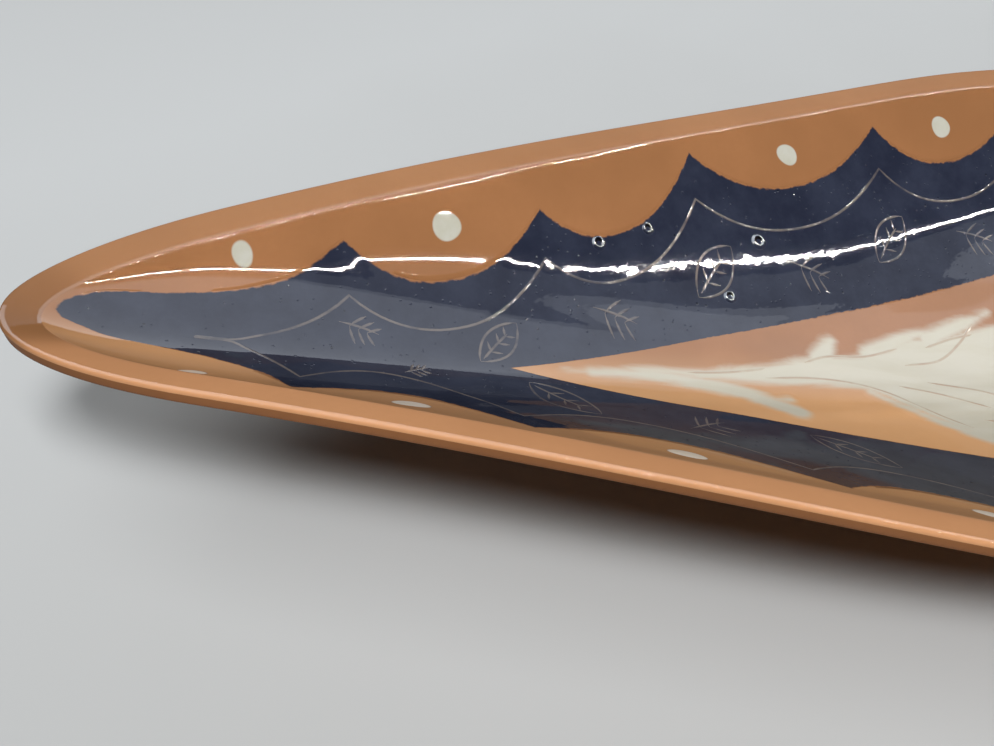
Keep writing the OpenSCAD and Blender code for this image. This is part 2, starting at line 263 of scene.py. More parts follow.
def capped_loft(first, rings, last):
    size = len(rings[0])
    points = np.vstack(list(rings) + [first, last])
    end, last_ring = len(rings) * size, (len(rings) - 1) * size
    faces = ring_faces(len(rings), size, False)
    faces += [(end, i, (i + 1) % size) for i in range(size)]
    faces += [(end + 1, last_ring + (i + 1) % size, last_ring + i) for i in range(size)]
    return points, faces


def merged(parts):
    points, faces, start = [], [], 0
    for part_points, part_faces in parts:
        points.append(part_points)
        faces += [tuple(start + i for i in face) for face in part_faces]
        start += len(part_points)
    return np.vstack(points), faces


def make_piece(name, points, faces, material, node=None, values=None, sharp=45, others=()):
    """A smooth piece; values go to its points, others give some faces another material."""
    mesh = bpy.data.meshes.new(name)
    mesh.from_pydata((np.asarray(points) * MM).tolist(), [], faces)
    shaped = bmesh.new()
    shaped.from_mesh(mesh)
    bmesh.ops.recalc_face_normals(shaped, faces=shaped.faces)
    shaped.to_mesh(mesh)
    shaped.free()
    mesh.shade_smooth()
    mesh.set_sharp_from_angle(angle=math.radians(sharp))
    for key, numbers in (values or {}).items():
        attribute = mesh.attributes.new(key, "FLOAT", "POINT")
        attribute.data.foreach_set("value", np.asarray(numbers, float))
    mesh.materials.append(material)
    chosen = np.zeros(len(mesh.polygons), int)
    for number, (other, part) in enumerate(others, 1):
        mesh.materials.append(other)
        chosen[part] = number
    mesh.polygons.foreach_set("material_index", chosen)
    piece = bpy.data.objects.new(name, mesh)
    bpy.context.scene.collection.objects.link(piece)
    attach(piece, "root")
    if node:
        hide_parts(node)
    return piece


# Materials
class Nodes:
    """A node material with a principled shader, and short ways to add to it."""

    def __init__(self, name):
        self.material = bpy.data.materials.new(name)
        self.material.use_nodes = True
        self.tree = self.material.node_tree
        self.shader = self.tree.nodes["Principled BSDF"]
        self.place = self.add("ShaderNodeTexCoord").outputs["Object"]

    def add(self, kind, **settings):
        node = self.tree.nodes.new(kind)
        for key, value in settings.items():
            setattr(node, key, value)
        return node

    def link(self, source, target):
        self.tree.links.new(source, target)

    def noise(self, scale, detail=3.0, roughness=0.55, distortion=0.0, place=None):
        node = self.add("ShaderNodeTexNoise")
        self.link(place or self.place, node.inputs["Vector"])
        node.inputs["Scale"].default_value = scale
        node.inputs["Detail"].default_value = detail
        node.inputs["Roughness"].default_value = roughness
        node.inputs["Distortion"].default_value = distortion
        return node.outputs["Fac"]

    def stretched(self, scale):
        node = self.add("ShaderNodeMapping")
        self.link(self.place, node.inputs["Vector"])
        node.inputs["Scale"].default_value = scale
        return node.outputs["Vector"]

    def value(self, name):
        return self.add("ShaderNodeAttribute", attribute_name=name).outputs["Fac"]

    def ramp(self, source, low, high, start=0.0, end=1.0, smooth=True):
        kind = "SMOOTHSTEP" if smooth else "LINEAR"
        node = self.add("ShaderNodeMapRange", interpolation_type=kind)
        self.link(source, node.inputs["Value"])
        limits = {"From Min": low, "From Max": high, "To Min": start, "To Max": end}
        for key, number in limits.items():
            node.inputs[key].default_value = number
        return node.outputs["Result"]

    def math(self, operation, first, second):
        node = self.add("ShaderNodeMath", operation=operation)
        for socket, source in zip(node.inputs, (first, second)):
            if isinstance(source, (int, float)):
                socket.default_value = source
            else:
                self.link(source, socket)
        return node.outputs["Value"]

    def mix(self, factor, first, second, blend="MIX"):
        node = self.add("ShaderNodeMix", data_type="RGBA", blend_type=blend)
        sockets = node.inputs[0], node.inputs[6], node.inputs[7]
        for socket, source in zip(sockets, (factor, first, second)):
            if isinstance(source, (int, float)):
                socket.default_value = source
            elif isinstance(source, tuple):
                socket.default_value = (*source, 1)
            else:
                self.link(source, socket)
        return node.outputs[2]

    def specks(self, scale, radius, share):
        """1 in small round spots, in about the given share of the cells."""
        cells = self.add("ShaderNodeTexVoronoi")
        self.link(self.place, cells.inputs["Vector"])
        cells.inputs["Scale"].default_value = scale
        chosen = self.add("ShaderNodeSeparateColor")
        self.link(cells.outputs["Color"], chosen.inputs["Color"])
        spot = self.ramp(cells.outputs["Distance"], radius * 0.5, radius, 1, 0)
        return self.math("MULTIPLY", spot, self.math("LESS_THAN", chosen.outputs["Red"], share))

    def bump(self, height, strength, distance, before=None):
        node = self.add("ShaderNodeBump")
        node.inputs["Strength"].default_value = strength
        node.inputs["Distance"].default_value = distance
        self.link(height, node.inputs["Height"])
        if before:
            self.link(before, node.inputs["Normal"])
        return node.outputs["Normal"]

    def glaze(self, colour, coat=0.2, coat_roughness=0.02, normal=None):
        """Colour under a clear gloss glaze; the slip or clay under it is matt."""
        self.link(colour, self.shader.inputs["Base Color"])
        self.shader.inputs["Roughness"].default_value = 0.6
        self.shader.inputs["Specular IOR Level"].default_value = 0.0
        self.shader.inputs["Coat Weight"].default_value = coat
        self.shader.inputs["Coat Roughness"].default_value = coat_roughness
        self.shader.inputs["Coat IOR"].default_value = 1.52
        if normal:
            self.link(normal, self.shader.inputs["Normal"])
            self.link(normal, self.shader.inputs["Coat Normal"])
        return self.material


# Lit and shaded copies of one clay: the wall pair is painted shade, the panel pair painted light.
SHADED_WALL_LIGHT, SHADED_WALL_DEEP = (0.353, 0.162, 0.07), (0.292, 0.134, 0.057)
LIT_PANEL_LIGHT, LIT_PANEL_DEEP = (0.64, 0.36, 0.175), (0.58, 0.325, 0.155)
# The lip's shaded copy, then its lit copy: painted shade and light.
SHADED_RIM_LIGHT, SHADED_RIM_DEEP = (0.30, 0.142, 0.061), (0.264, 0.124, 0.053)
LIT_RIM_LIGHT, LIT_RIM_DEEP = (0.66, 0.33, 0.16), (0.585, 0.288, 0.137)
# A darker copy of the clay for the outer face and underside: painted shade.
SHADED_UNDER_LIGHT, SHADED_UNDER_DEEP = (0.313, 0.133, 0.056), (0.266, 0.112, 0.046)
BARE_LIGHT, BARE_DEEP = (0.60, 0.285, 0.125), (0.47, 0.195, 0.078)
CLAY_SPECK = (0.10, 0.045, 0.02)
NAVY_DARK = (0.0175, 0.0215, 0.040)
NAVY_PALE = (0.030, 0.0365, 0.0615)
CREAM = (0.475, 0.445, 0.345)
IVORY = (0.53, 0.51, 0.43)
DOT_CREAM, DOT_IVORY = (0.465, 0.46, 0.38), (0.523, 0.525, 0.475)
# The near dots' colours, painted lighter as light.
LIT_NEAR_CREAM, LIT_NEAR_IVORY = (0.81, 0.73, 0.62), (0.87, 0.79, 0.70)
VEIN = (0.37, 0.25, 0.18)
SCRATCH = (0.20, 0.172, 0.153)
# Painted shade in the glaze's pinholes and in the burst bubbles' pits.
PINHOLE_SHADE, PIT_SHADE = (0.004, 0.005, 0.008), (0.003, 0.003, 0.005)


def clay_colour(nodes, light, deep):
    """Orange-brown clay under the glaze: broad clouds, fine grain and a few iron specks."""
    clouds = nodes.ramp(nodes.noise(38, 4, 0.6), 0.3, 0.72)
    grain = nodes.ramp(nodes.noise(1300, 2), 0.3, 0.7, 0.0, 0.16)
    base = nodes.mix(grain, nodes.mix(clouds, light, deep), deep)
    return nodes.mix(nodes.specks(85, 0.035, 0.5), base, CLAY_SPECK)


def shaded_wall_colour(nodes):
    return clay_colour(nodes, SHADED_WALL_LIGHT, SHADED_WALL_DEEP)


def ground_colour(nodes):
    """Painted light and shade: by the pale value the walls and the far side take the darker shaded
    wall colour, and the floor's near half and, in part, the near wall the lighter lit panel colour.
    """
    panel = clay_colour(nodes, LIT_PANEL_LIGHT, LIT_PANEL_DEEP)
    return nodes.mix(nodes.value("pale"), shaded_wall_colour(nodes), panel)


def navy_colour(nodes):
    return nodes.mix(nodes.ramp(nodes.noise(120, 5, 0.65), 0.3, 0.7), NAVY_DARK, NAVY_PALE)


def white_colour(nodes):
    return nodes.mix(nodes.noise(260, 4), IVORY, CREAM)


def glaze_waves(nodes, strength=0.03):
    """The slight unevenness of a poured glaze."""
    slow = nodes.bump(nodes.noise(60, 1), strength * 0.6, 0.0006)
    return nodes.bump(nodes.noise(420, 1), strength * 0.5, 0.00012, slow)


def clay_material():
    nodes = Nodes("glazed_clay")
    normal = glaze_waves(nodes, 0.02)
    return nodes.glaze(ground_colour(nodes), coat_roughness=0.032, normal=normal)


def rim_material(name, glossy):
    """On the lip the glaze has run off and is thin; along the lip's two edges it stays glossy. Its
    colour is painted: lighter on the near side as light, darker on the far side and at the tips as
    shade.
    """
    nodes = Nodes(name)
    colour = nodes.mix(nodes.value("pale"), clay_colour(nodes, SHADED_RIM_LIGHT, SHADED_RIM_DEEP),
                       clay_colour(nodes, LIT_RIM_LIGHT, LIT_RIM_DEEP))
    if glossy:
        return nodes.glaze(colour, coat=0.25, coat_roughness=0.09)
    return nodes.glaze(colour, coat=0.04, normal=glaze_waves(nodes))


# Painted shade: the outer face and underside take a darker, shaded copy of the clay colour.
def under_material():
    nodes = Nodes("under_clay")
    colour = clay_colour(nodes, SHADED_UNDER_LIGHT, SHADED_UNDER_DEEP)
    return nodes.glaze(colour, coat=0.1, normal=glaze_waves(nodes))


def bare_clay_material():
    nodes = Nodes("bare_clay")
    grain = nodes.noise(900, 4, 0.65)
    base = nodes.mix(nodes.ramp(nodes.noise(60, 4), 0.3, 0.7), BARE_LIGHT, BARE_DEEP)
    base = nodes.mix(nodes.ramp(grain, 0.45, 0.7, 0.0, 0.45), base, CLAY_SPECK)
    nodes.link(base, nodes.shader.inputs["Base Color"])
    nodes.shader.inputs["Roughness"].default_value = 0.88
    nodes.link(nodes.bump(grain, 0.6, 0.0003), nodes.shader.inputs["Normal"])
    return nodes.material


def navy_material():
    nodes = Nodes("navy_slip")
    # Painted shade: the pinhole specks, which also press dimples into the glaze, are darkened.
    pits = nodes.specks(700, 0.16, 0.12)
    slip = nodes.mix(nodes.math("MULTIPLY", pits, 0.6), navy_colour(nodes), PINHOLE_SHADE)
    fray = nodes.ramp(nodes.noise(900, 2), 0.25, 0.75, -0.12, 0.12)
    reach = nodes.math("ADD", nodes.value("edge_mm"), fray)
    colour = nodes.mix(nodes.ramp(reach, 0.02, 0.3), shaded_wall_colour(nodes), slip)
    lumps = nodes.bump(nodes.noise(500, 2, 0.5), 0.03, 0.0002, glaze_waves(nodes))
    dimples = nodes.bump(pits, 0.2, -0.0001, lumps)
    dimples = nodes.bump(nodes.specks(1200, 0.2, 0.4), 0.4, 0.0001, dimples)
    return nodes.glaze(colour, normal=dimples)


def pit_material():
    """Thick glaze round a burst bubble, painted dark inside as shade in the pit."""
    nodes = Nodes("pit_glaze")
    colour = nodes.mix(nodes.value("pit"), navy_colour(nodes), PIT_SHADE)
    return nodes.glaze(colour, coat=1.0, coat_roughness=0.15, normal=glaze_waves(nodes))


def white_material():
    nodes = Nodes("white_slip")
    clouds = nodes.ramp(nodes.noise(260, 4, 0.6), 0.3, 0.75)
    # Painted light: the near dots take the lighter near colours.
    colour = nodes.mix(nodes.value("pale"), nodes.mix(clouds, DOT_CREAM, DOT_IVORY),
                       nodes.mix(clouds, LIT_NEAR_CREAM, LIT_NEAR_IVORY))
    inside = nodes.ramp(nodes.value("edge_mm"), 0.0, 0.28)
    colour = nodes.mix(inside, shaded_wall_colour(nodes), colour)
    return nodes.glaze(colour, normal=glaze_waves(nodes, 0.02))


def marbled_material():
    nodes = Nodes("marbled_slip")
    threads = nodes.noise(1.0, 4, 0.6, 0.6, nodes.stretched((90, 330, 90)))
    drift = nodes.ramp(threads, 0.2, 0.8, -0.7, 0.7, False)
    cover = nodes.ramp(nodes.math("ADD", nodes.value("cover_mm"), drift), -0.8, 0.9)
    slip = nodes.mix(nodes.ramp(threads, 0.35, 0.75, 0, 0.5), IVORY, CREAM)
    colour = nodes.mix(cover, ground_colour(nodes), slip)
    return nodes.glaze(colour, normal=glaze_waves(nodes, 0.02))


def line_material(name, colour, ground, strength, scale):
    """A thin line on its ground's colour, which thins out and breaks up along its length."""
    nodes = Nodes(name)
    worn = nodes.ramp(nodes.noise(scale, 3, 0.6), 0.25, 0.62, 0.25, 1)
    amount = nodes.math("MULTIPLY", nodes.math("MULTIPLY", nodes.value("line"), worn), strength)
    return nodes.glaze(nodes.mix(amount, ground(nodes), colour), normal=glaze_waves(nodes))


clay = clay_material()
rim_clay = rim_material("rim_clay", False)
lip_edge = rim_material("lip_edge", True)
under_clay = under_material()
bare_clay = bare_clay_material()
navy = navy_material()
pit_glaze = pit_material()
white = white_material()
marbled = marbled_material()
scratched = line_material("scratched_line", SCRATCH, navy_colour, 0.65, 300)
veined = line_material("slip_vein", VEIN, white_colour, 0.7, 200)


def between(first, second, part):
    return first + (second - first) * part


# Plan lines of equal length round the hollow, from the left tip along the far side and back along
# the near one
def lobe_ends(run):
    return INNER_HALF_LENGTH * (2 * np.concatenate([[0], np.cumsum(run)]) / sum(run) - 1)


def side_line(run, wander, side, tip_gap, high, deep, tip_deep=None, tip_edge=None):
    ends = lobe_ends(run)
    ends[0] += tip_gap
    ends[-1] -= tip_gap
    at_tip = inner_edge(INNER_HALF_LENGTH - tip_gap)
    line = []
    for k in range(len(run)):
        t = np.arange(LOBE_STEPS) / LOBE_STEPS
        first, last = k == 0, k == len(run) - 1
        if first:
            t = t ** LOBE_CROWDING
        if last:
            t = 1 - (1 - t) ** LOBE_CROWDING
        start = at_tip if first else high + wander[k - 1]
        end = at_tip if last else high + wander[k]
        straight = between(start, end, t)
        x = between(ends[k], ends[k + 1], t)
        if tip_edge and (first or last):
            y = curve_value(tip_edge, INNER_HALF_LENGTH - np.abs(x))
        else:
            depth = (tip_deep if first or last else deep) - high
            y = inner_edge(x) - straight - depth * (1 - np.abs(2 * t - 1) ** LOBE_EXPONENT)
            y = np.maximum(THINNEST, y)
            if first:
                y[0] = 0
        line.append(np.column_stack([x, side * y]))
    return np.vstack(line)


def both_sides(far, near):
    return np.vstack([far, near * [-1, 1]])


def panel_half(x):
    return PANEL_WIDTH / 2 * (1 - 2 * np.abs(x) / PANEL_LENGTH)


SCALLOPS = SLIP_TIP_GAP, POINT_INSET, SCALLOP_INSET
ECHO = LINE_TIP_GAP, LINE_POINT_INSET, LINE_SCALLOP_INSET, TIP_LINE_INSET
border_line = both_sides(side_line(FAR_RUN, FAR_WANDER, 1, *SCALLOPS, tip_edge=FAR_TIP_EDGE),
                         side_line(NEAR_RUN, NEAR_WANDER, -1, *SCALLOPS, tip_edge=NEAR_TIP_EDGE))
echo_line = both_sides(side_line(FAR_RUN, FAR_WANDER, 1, *ECHO),
                       side_line(NEAR_RUN, NEAR_WANDER, -1, *ECHO))
panel_x = -PANEL_LENGTH / 2 * echo_line[:, 0] / echo_line[0, 0]
panel_line = np.column_stack([panel_x, panel_half(panel_x) * np.sign(echo_line[:, 1])])
loop_share = border_line[:, 0] / (INNER_HALF_LENGTH - SLIP_TIP_GAP)
loop_side = np.repeat([1.0, -1.0], [LOBE_STEPS * len(FAR_RUN), LOBE_STEPS * len(NEAR_RUN)])
inner_loop = np.column_stack([loop_share * INNER_HALF_LENGTH,
                              loop_side * inner_edge(loop_share * INNER_HALF_LENGTH)])
outer_loop = np.column_stack([loop_share * HALF_LENGTH,
                              loop_side * outer_edge(loop_share * HALF_LENGTH)])


# Shell: hollow with the bed of the slip, lip, underside and the seat of the foot ring
def at_scale(loop, r, z):
    return np.column_stack([loop * np.reshape(r, (-1, 1)), np.broadcast_to(z, len(loop))])


def lip_ring(across, drop):
    place = inner_loop + (outer_loop - inner_loop) * np.reshape(across / WALL, (-1, 1))
    return np.column_stack([place, rim_height(loop_share) - drop])


def slope_at(share, inner, outer):
    """Slope of the hollow's wall where it meets the lip, across the rim."""
    across = outer - inner
    reach = (inner * across).sum(axis=-1) / np.linalg.norm(across, axis=-1)
    steeper = 1 + tip_steepness(share)
    return np.arctan(hollow_rise(share) * rise_exponent(share) * steeper / reach)


def wall_slope(x, side):
    share = x / INNER_HALF_LENGTH
    inner = np.array([x, side * inner_edge(x)])
    outer = np.array([share * HALF_LENGTH, side * outer_edge(share * HALF_LENGTH)])
    return slope_at(share, inner, outer)


def rim_direction(x, side):
    step = 0.5
    rise = side * (inner_edge(x + step) - inner_edge(x - step))
    return np.array([2 * step, rise]) / math.hypot(2 * step, rise)


def crest_ring(t):
    """The lip's crest leaves the hollow along its wall and meets the rounded outer edge."""
    slope = slope_at(loop_share, inner_loop, outer_loop)
    top = np.array([WALL - LIP_CORNER * (1 + math.sin(LIP_TILT)),
                    LIP_CORNER * (1 - math.cos(LIP_TILT))])
    edge = np.array([0, LIP_DROP])
    leaving = edge + LIP_START_PULL * np.column_stack([np.cos(slope), -np.sin(slope)])
    arriving = top + LIP_END_PULL * np.array([-math.cos(LIP_TILT), math.sin(LIP_TILT)])
    place = ((1 - t) ** 3 * edge + 3 * (1 - t) ** 2 * t * leaving
             + 3 * (1 - t) * t * t * arriving + t ** 3 * top)
    return lip_ring(place[:, 0], place[:, 1])


seat_scale = ((SEAT_Z - UNDER_Z) / (rim_height(loop_share) - LIP_OUTER - UNDER_Z)) ** (
    1 / rise_exponent(loop_share))


def foot_scale(inset):
    return seat_scale - inset / np.linalg.norm(outer_loop, axis=1)


def under_ring(part):
    r = 1 + (seat_scale - 1) * part
    return at_scale(outer_loop, r, under_surface_z(loop_share, r))


def panel_painted_light(y):
    """Painted light on the panel: 1 on its near half, falling to 0 on its far half, which takes the
    darker shaded wall colour.
    """
    return 1 - ease(y, *PANEL_PALE_SPAN)


def lip_painted_light():
    """Painted light and shade on the lip: lighter on the near side, darker on the far side and at
    the tips.
    """
    near = LIP_PALE + (1 - LIP_PALE) * ease(-outer_loop[:, 1], *LIP_PALE_SPAN)
    return near * (1 - ease(np.abs(loop_share), *TIP_PALE_SPAN))


def build_shell():
    size = len(inner_loop)
    rings = []
    for part in np.arange(1, PANEL_RINGS + 1) / PANEL_RINGS:
        bed = STREAK_BED * (1 - ease(part, *STREAK_BED_SPAN))
        rings.append(draped(panel_line * part, bed))
    # Painted light and shade: the panel's near half and, in part, the near wall are painted
    # lighter, the far side darker.
    pale = [panel_painted_light(ring[:, 1]) for ring in rings]
    rings += [draped(between(panel_line, border_line, part), COAT_BED)
              for part in np.linspace(0, 1, BAND_RINGS)]
    rings += [draped(between(border_line, inner_loop, part), 0)
              for part in np.arange(WALL_RINGS + 1) / WALL_RINGS]
    pale += [NEAR_PALE * ease(-ring[:, 1], *NEAR_PALE_SPAN) for ring in rings[len(pale):]]
    lip_start = len(rings) - 1
    rings += [crest_ring(t) for t in np.arange(1, CREST_RINGS) / CREST_RINGS]
    corner_start = len(rings) - 1
    for angle in np.linspace(math.pi / 2 + LIP_TILT, 0, CORNER_RINGS):
        across = WALL - LIP_CORNER * (1 - math.cos(angle))
        rings.append(lip_ring(np.full(size, across), LIP_CORNER * (1 - math.sin(angle))))
    corner_end = len(rings) - 1
    rings += [lip_ring(np.full(size, WALL), drop)
              for drop in np.linspace(LIP_CORNER, LIP_FACE, FACE_RINGS)[1:]]
    # Painted light and shade on the lip, lighter on the near side.
    pale += [lip_painted_light()] * (len(rings) - len(pale))
    rings += [under_ring(j / UNDER_RINGS) for j in range(1, UNDER_RINGS + 1)]
    shoulder = foot_scale(FOOT_WALL + FOOT_CLEARANCE)
    rings.append(at_scale(outer_loop, shoulder, SEAT_Z))
    for part in UNDER_PARTS:
        r = shoulder * part
        rings.append(at_scale(outer_loop, r, under_surface_z(loop_share, r)))
    pale += [np.full(size, UNDER_PALE)] * (len(rings) - len(pale))
    middle = draped(np.zeros((1, 2)), STREAK_BED)
    points, faces = capped_loft(middle, rings, [0, 0, UNDER_Z])
    values = {"pale": np.append(np.concatenate(pale), [1, UNDER_PALE])}
    crest_start = lip_start + GLOSSY_LIP
    crest = np.r_[crest_start * size:corner_end * size]
    inner_edges = np.r_[lip_start * size:crest_start * size]
    corner = np.r_[corner_start * size:corner_end * size]
    edges = np.concatenate([inner_edges, corner[loop_side[corner % size] < 0]])
    under = np.r_[corner_end * size:(len(rings) - 1) * size, len(faces) - size:len(faces)]
    make_piece("dish_shell", points, faces, clay, "dish_body", values, sharp=60,
               others=[(rim_clay, crest), (lip_edge, edges), (under_clay, under)])


def build_foot():
    soft, cut = FOOT_SOFT, 0.3 * FOOT_SOFT
    profile = [(0, SEAT_Z), (0, soft), (cut, cut), (soft, 0), (FOOT_WALL - soft, 0),
               (FOOT_WALL - cut, cut), (FOOT_WALL, soft), (FOOT_WALL, SEAT_Z)]
    rings = [at_scale(outer_loop, foot_scale(inset), z) for inset, z in profile]
    faces = ring_faces(len(rings), len(outer_loop), True)
    make_piece("foot_coil", np.vstack(rings), faces, bare_clay, "foot_ring", sharp=60)


def crown(reach):
    """Rise of a coat over the clay's skin, by the distance from its edge in millimetres."""
    t = np.clip(reach / CROWN_REACH, 0, 1)
    return COAT_CROWN * t ** 2 * (3 - 2 * t)


def slip_coat(name, outer, inner, parts, node, soft_outer, soft_inner):
    """A navy coat between two plan lines; a soft edge thins out, the other meets the next coat."""
    layers, reaches = [], []
    for part in parts:
        place = between(outer, inner, part)
        reach = np.full(len(place), FAR_INSIDE)
        if soft_outer:
            reach = np.minimum(reach, np.linalg.norm(place - outer, axis=1))
        if soft_inner:
            reach = np.minimum(reach, np.linalg.norm(place - inner, axis=1))
        layers.append(draped(place, crown(reach)))
        reaches.append(reach)
    for part in ROOT_PARTS:
        layers.append(draped(between(outer, inner, part), COAT_ROOT))
        reaches.append(np.full(len(outer), FAR_INSIDE))
    faces = ring_faces(len(layers), len(outer), True)
    make_piece(name, np.vstack(layers), faces, navy, node,
               {"edge_mm": np.concatenate(reaches)})


# Burst bubbles in the glaze: plan places with the radius of each raised ring, then the ring's
# height by the distance from its middle, how much of it is painted dark as shade, and the wall's
# slope there
PITS = [(-72.7, 17.1, 0.66), (-65.2, 20.0, 0.55), (-47.8, 21.3, 0.8), (-54.5, 13.1, 0.66)]
PIT_PROFILE = [(0.3, -0.02), (0.5, 0.0), (0.65, 0.1), (0.8, 0.2), (0.95, 0.25), (1.1, 0.24),
               (1.25, 0.15), (1.4, 0.05), (1.55, -0.03)]
PIT_SHADE_REACH = 0.9
PIT_SLOPE_SHARE = 0.8


def build_pits():
    around = 2 * np.pi * np.arange(PIT_SIDES) / PIT_SIDES
    parts, dark = [], []
    for x, y, size in PITS:
        along = rim_direction(x, 1)
        across = np.array([-along[1], along[0]]) * math.cos(PIT_SLOPE_SHARE * wall_slope(x, 1))
        layers = []
        for reach, lift in PIT_PROFILE:
            place = (np.array([x, y]) + np.outer(size * reach * np.cos(around), along)
                     + np.outer(size * reach * np.sin(around), across))
            layers.append(draped(place, COAT_CROWN + lift))
            dark.append(np.full(PIT_SIDES, 1.0 if reach < PIT_SHADE_REACH else 0.0))
        layers.append(draped(place, COAT_ROOT))
        centre = np.array([[x, y]])
        bottom = draped(centre, COAT_CROWN + PIT_PROFILE[0][1])
        parts.append(capped_loft(bottom, layers, draped(centre, COAT_ROOT)))
        dark += [np.zeros(PIT_SIDES), [1.0, 0.0]]
    points, faces = merged(parts)
    values = {"pit": np.concatenate(dark)}
    make_piece("glaze_pits", points, faces, pit_glaze, values=values)


# Parts of the way across the two coats where their meshes have a row
EDGE_PARTS = [0, 0.02, 0.04, 0.08, 0.14, 0.25, 0.4, 0.55, 0.7, 0.85, 1]
FIELD_PARTS = [*np.linspace(0, 0.9, 34), 0.93, 0.96, 0.98, 0.99, 1]


def build_dots():
    parts, edges, pale = [], [], []
    around = 2 * np.pi * np.arange(DOT_SIDES) / DOT_SIDES
    for run, side, bare in ((FAR_RUN, 1, BARE_FAR_LOBE), (NEAR_RUN, -1, None)):
        ends = lobe_ends(run)
        for k in range(len(run)):
            if bare is not None and k in (bare, len(run) - 1 - bare):
                continue
            at_end = k in (0, len(run) - 1)
            share = TIP_DOT_SHARE if k == 0 else 1 - TIP_DOT_SHARE if at_end else 0.5
            x = between(ends[k], ends[k + 1], share)
            y = side * (inner_edge(x) - (TIP_DOT_INSET if at_end else DOT_INSET))
            reach = (TIP_DOT_DIAMETER if at_end else DOT_DIAMETER) / 2 * DOT_SKIRT
            uneven = 1 + 0.05 * np.sin(2 * around + k) + 0.03 * np.sin(3 * around + 2 * k)
            along = rim_direction(x, side)
            across = np.array([-along[1], along[0]])
            if not at_end:
                across = across * math.cos(wall_slope(x, side))
            radius = reach * uneven
            layers = []
            for j in range(1, DOT_RINGS + 1):
                part = j / DOT_RINGS
                place = (np.array([x, y]) + np.outer(radius * part * np.cos(around), along)
                         + np.outer(radius * part * np.sin(around), across))
                layers.append(draped(place, DOT_HEIGHT * (1 - part ** 2) - DOT_SUNK))
                edges.append(np.full(DOT_SIDES, (DOT_EDGE - part) * reach))
            layers.append(draped(place, COAT_ROOT))
            edges += [np.zeros(DOT_SIDES), [FAR_INSIDE, 0.0]]
            centre = np.array([[x, y]])
            top = draped(centre, DOT_HEIGHT - DOT_SUNK)
            parts.append(capped_loft(top, layers, draped(centre, COAT_ROOT)))
            # pale marks the near dots for their painted light.
            pale.append(np.full(DOT_SIDES * (DOT_RINGS + 1) + 2, 1.0 if side < 0 else 0.0))
    points, faces = merged(parts)
    make_piece("dot_row", points, faces, white, "slip_dots",
               {"edge_mm": np.concatenate(edges), "pale": np.concatenate(pale)})


# Poured streak: a body between two edges, with tongues given by a path and the half width at both
# its ends, and thin veins; the same from both ends of the dish
STREAK_STEP, STREAK_GRID = 0.4, (82, 16)
STREAK_SKIRT, STREAK_MARGIN = 1.6, 0.2
STREAK_CROWN, STREAK_SUNK, STREAK_EDGE, STREAK_SLOPE = 0.05, 0.02, 1.4, 1.1
STREAK_REACH, STREAK_POINT = 79, 0.3
EDGE_STEPS, SPINE_STEPS = 160, 24
STREAK_UPPER = [(-STREAK_REACH, 0.4), (-70, 2.0), (-63.4, 2.3), (-53, 3.6), (-46.3, 5.2),
                (-40, 5.8), (-36, 6.3), (-31, 7.8), (-27.6, 9.2), (-20, 10.2), (-11, 12.0),
                (0, 12.5)]
STREAK_LOWER = [(-STREAK_REACH, 0.4), (-70, 0.9), (-62, 0.8), (-52, 0.6), (-41, 0.6),
                (-36.7, -0.6), (-32.7, -4.0), (-29, -7.4), (-26, -9.9), (-20, -11.6),
                (-10, -12.4), (0, -12.5)]
TONGUES = [
    ([(-77, 0.4), (-68.5, 0.8), (-62, -0.2), (-56, -2.2), (-51.6, -5.0)], 0.7, 1.6),
    ([(-55.6, -2.6), (-52.6, -2.6), (-51, -2.4)], 0.4, 0.5),
    ([(-43.2, 5.0), (-41.6, 7.0), (-40.4, 8.2)], 2.0, 0.8),
    ([(-35, 6.4), (-28, 9.4), (-21.5, 11.2)], 1.6, 0.5),
    ([(-24, 9.4), (-17, 12.0), (-11.5, 14.0)], 1.6, 0.4),
    ([(-38, -0.2), (-32.7, -4.6), (-25.6, -10.6)], 0.7, 1.2),
]
VEINS = [
    [(-64, 1.6), (-59, 2.0), (-55, 2.6), (-52.5, 3.1)],
    [(-53, 1.5), (-46, 1.9), (-40, 1.3), (-35, -0.6), (-31, -4.0), (-27, -7.4)],
    [(-46, 4.4), (-42, 5.6), (-36, 6.0), (-30, 7.6)],
    [(-30, 4.8), (-24, 5.8), (-19, 8.8), (-15, 12.2)],
    [(-25, 8.0), (-20, 9.6), (-16, 10.4)],
    [(-33, 1.0), (-27, -0.6), (-21, -3.0)],
    [(-28, 1.8), (-20, 0.0), (-13, -3.6)],
    [(-24, -5.6), (-17, -6.8), (-10, -9.8)],
]


def from_both_ends(path):
    path = np.asarray(path, float)
    return [path, -path]


def streak_cover(plan):
    """How far inside the poured white a plan place lies, in millimetres."""
    flip = np.where(plan[:, 0] > 0, -1.0, 1.0)[:, None]
    x, y = (plan * flip).T
    upper = np.interp(x, *np.transpose(smooth_path(STREAK_UPPER, EDGE_STEPS)))
    lower = np.interp(x, *np.transpose(smooth_path(STREAK_LOWER, EDGE_STEPS)))
    cover = np.minimum(np.minimum(upper - y, y - lower), (x + STREAK_REACH) * STREAK_POINT)
    for path, start, end in TONGUES:
        spine = smooth_path(path, SPINE_STEPS)
        widths = np.linspace(start, end, SPINE_STEPS)
        for k in range(SPINE_STEPS - 1):
            step = spine[k + 1] - spine[k]
            from_x, from_y = x - spine[k, 0], y - spine[k, 1]
            part = np.clip((from_x * step[0] + from_y * step[1]) / (step @ step), 0, 1)
            apart = np.hypot(from_x - step[0] * part, from_y - step[1] * part)
            cover = np.maximum(cover, between(widths[k], widths[k + 1], part) - apart)
    return cover


